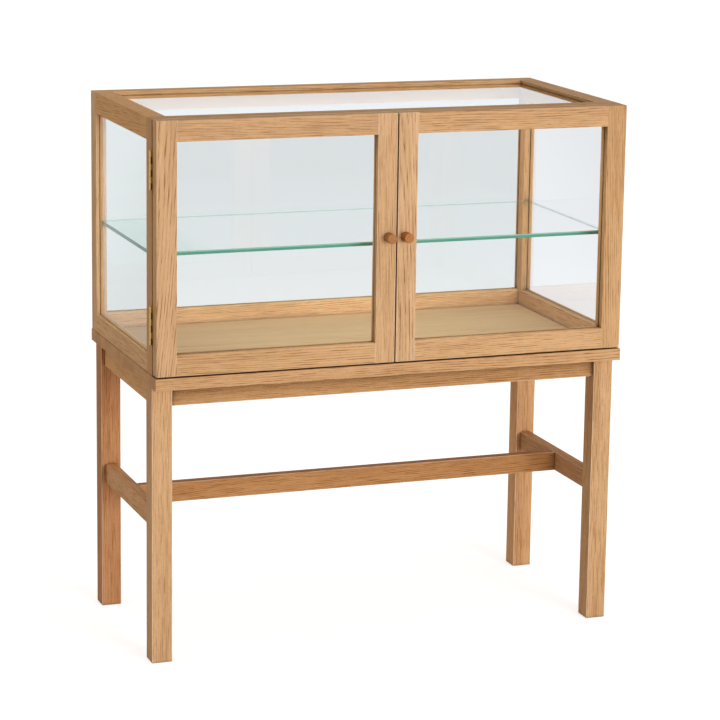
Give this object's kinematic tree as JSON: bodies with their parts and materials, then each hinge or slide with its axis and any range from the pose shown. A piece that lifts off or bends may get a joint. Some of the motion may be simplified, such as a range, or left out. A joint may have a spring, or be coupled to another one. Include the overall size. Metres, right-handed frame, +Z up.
{
  "type": "glass display cabinet",
  "caption": "Glazed oak display cabinet on an open stand with stretchers: hinged glass doors with round knobs, glass sides, back and top, and a glass shelf inside.",
  "frame": {"origin": "on the floor, at the middle of the object's bounding box seen from above", "axes": "+Z up, +X to the right as seen from the front, the doors face -Y"},
  "size_m": [1.009, 0.522, 1.1],
  "materials": {
    "oak": "satin lacquered oak",
    "oak_knob": "satin lacquered oak, turned",
    "pane_glass": "clear float glass",
    "shelf_glass": "clear float glass with polished green edges",
    "brass": "polished brass",
    "brass_screws": "polished brass",
    "steel": "zinc plated",
    "magnet": "plated magnet",
    "catch_plastic": "matte brown"
  },
  "bodies": {
    "case_and_stand": {"leg_front_left": "oak", "leg_front_right": "oak", "leg_rear_left": "oak", "leg_rear_right": "oak", "apron_front": "oak", "apron_rear": "oak", "apron_left": "oak", "apron_right": "oak", "stretcher_left": "oak", "stretcher_right": "oak", "stretcher_long": "oak", "base_plate": "oak", "floor_panel": "oak", "post_front_left": "oak", "post_front_right": "oak", "post_rear_left": "oak", "post_rear_right": "oak", "top_rail_front": "oak", "top_rail_rear": "oak", "top_rail_left": "oak", "top_rail_right": "oak", "bottom_rail_rear": "oak", "bottom_rail_left": "oak", "bottom_rail_right": "oak", "glass_left": "pane_glass", "glass_right": "pane_glass", "glass_rear": "pane_glass", "glass_top": "pane_glass", "glass_shelf": "shelf_glass", "shelf_pins": "steel", "catch_housing": "catch_plastic", "catch_magnets": "magnet", "stand_screws": "steel", "case_screws": "steel", "hinge_leaves_case_left": "brass", "hinge_screws_case_left": "brass_screws", "hinge_pins_left": "brass", "hinge_leaves_case_right": "brass", "hinge_screws_case_right": "brass_screws", "hinge_pins_right": "brass"},
    "door_left": {"door_left_hinge_stile": "oak", "door_left_meeting_stile": "oak", "door_left_top_rail": "oak", "door_left_bottom_rail": "oak", "door_left_glass": "pane_glass", "door_left_knob": "oak_knob", "door_left_knob_screw": "steel", "door_left_strike_plate": "steel", "hinge_leaves_door_left": "brass", "hinge_screws_door_left": "brass_screws"},
    "door_right": {"door_right_hinge_stile": "oak", "door_right_meeting_stile": "oak", "door_right_top_rail": "oak", "door_right_bottom_rail": "oak", "door_right_glass": "pane_glass", "door_right_knob": "oak_knob", "door_right_knob_screw": "steel", "door_right_strike_plate": "steel", "hinge_leaves_door_right": "brass", "hinge_screws_door_right": "brass_screws"}
  },
  "joints": [
    {"name": "door_left_swing", "type": "hinge", "parent": "case_and_stand", "child": "door_left", "pos_m": [-0.5015, -0.2085, 0.8475], "axis": [0, 0, 1], "range_deg": [-180, 0]},
    {"name": "door_right_swing", "type": "hinge", "parent": "case_and_stand", "child": "door_right", "pos_m": [0.5015, -0.2085, 0.8475], "axis": [0, 0, 1], "range_deg": [0, 180]}
  ]
}
